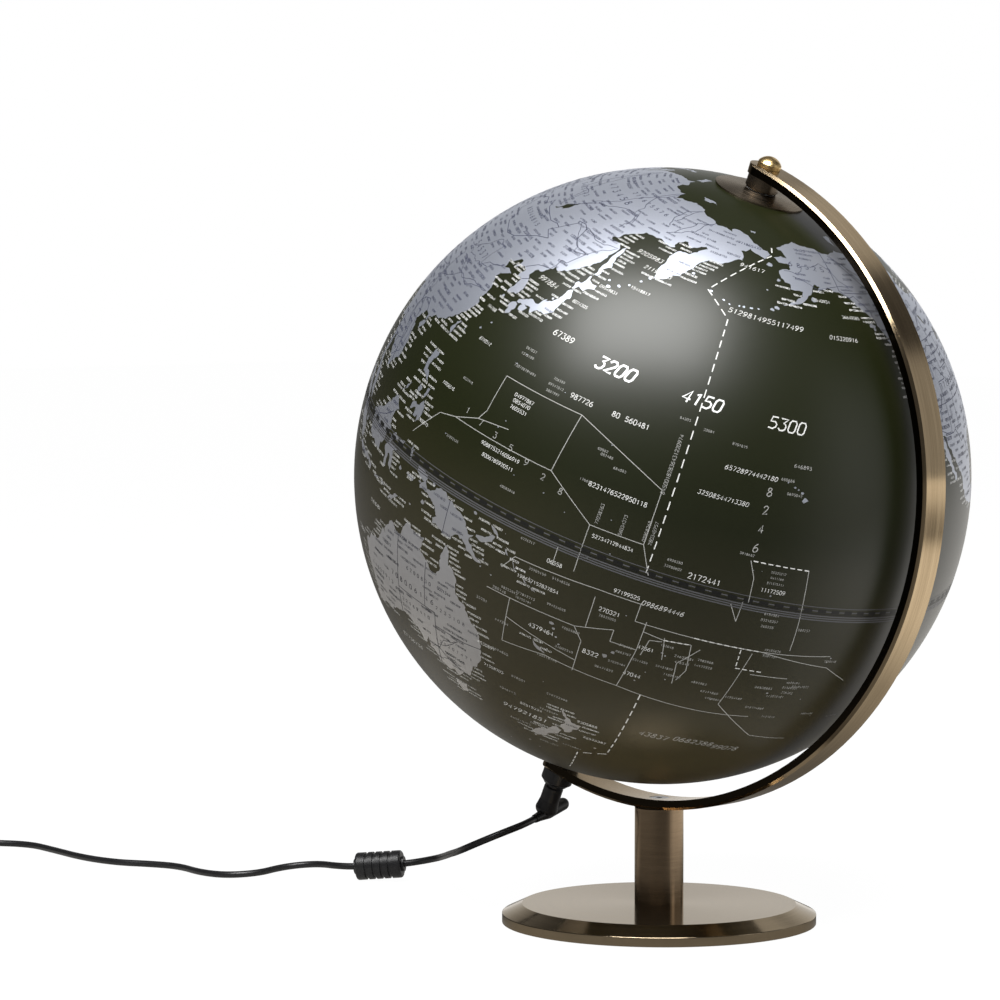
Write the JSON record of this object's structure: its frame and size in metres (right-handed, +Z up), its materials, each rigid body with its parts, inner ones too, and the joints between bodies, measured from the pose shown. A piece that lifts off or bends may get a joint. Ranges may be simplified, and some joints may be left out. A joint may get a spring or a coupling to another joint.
{
  "type": "desktop globe on stand",
  "caption": "Illuminated terrestrial globe that spins on a tilted axis in a flat metal half meridian on a round weighted base, with a low-voltage lead.",
  "frame": {"origin": "middle of the base's underside, on the column's axis, on the table", "axes": "+Z up along the column; the meridian lies in the XZ plane and bulges towards +X; the north pole leans towards +X"},
  "size_m": [0.6383, 0.3355, 0.3738],
  "materials": {
    "antique_brass": "brushed, antique tone",
    "polished_brass": "polished",
    "dark_bronze": "dark bronze, satin",
    "iron": "as cast",
    "steel": "zinc plated",
    "felt_pad": "black felt",
    "black_plastic": "black, satin",
    "black_lead": "black, satin",
    "map_shell": "printed map under satin lacquer",
    "white_plastic": "white, matte",
    "lamp_metal": "satin",
    "board": "white solder mask",
    "chip": "yellow phosphor",
    "red_lead": "satin",
    "ferrite": "sintered, dull"
  },
  "bodies": {
    "stand": {"base_cover": "antique_brass", "base_weight": "iron", "base_pad": "felt_pad", "base_bolt": "steel", "base_washer": "steel", "column": "antique_brass", "column_foot_insert": "steel", "column_head_insert": "steel", "meridian_arc": "antique_brass", "arc_screw": "steel", "finial_nut": "polished_brass", "north_pin": "steel", "pin_clip": "steel", "north_spacer": "dark_bronze", "north_collar": "dark_bronze", "south_housing": "black_plastic", "jack_nut": "black_plastic", "dc_jack": "black_plastic", "lamp_stem": "lamp_metal", "led_board": "board", "led_chips": "chip", "led_diffuser": "white_plastic", "lamp_leads": "red_lead", "plug_body": "black_lead", "plug_barrel": "steel", "cord_run_a": "black_lead", "cord_in_ferrite": "black_lead", "ferrite_case_top": "black_plastic", "ferrite_case_bottom": "black_plastic", "ferrite_core": "ferrite", "cord_run_b": "black_lead", "cord_coil": "black_lead", "coil_tie": "black_lead", "cord_run_c": "black_lead", "adapter_relief": "black_lead", "adapter_body": "black_plastic", "adapter_cover": "black_plastic", "adapter_pins": "steel"},
    "ball": {"upper_hemisphere": "map_shell", "lower_hemisphere": "map_shell", "equator_ring": "white_plastic", "north_cap": "antique_brass", "north_bush": "white_plastic", "south_bush": "white_plastic"}
  },
  "joints": [
    {"name": "ball_spin", "type": "hinge", "parent": "stand", "child": "ball", "pos_m": [0.0012, 0, 0.2194], "axis": [0.3987, 0, 0.9171], "continuous": true}
  ]
}
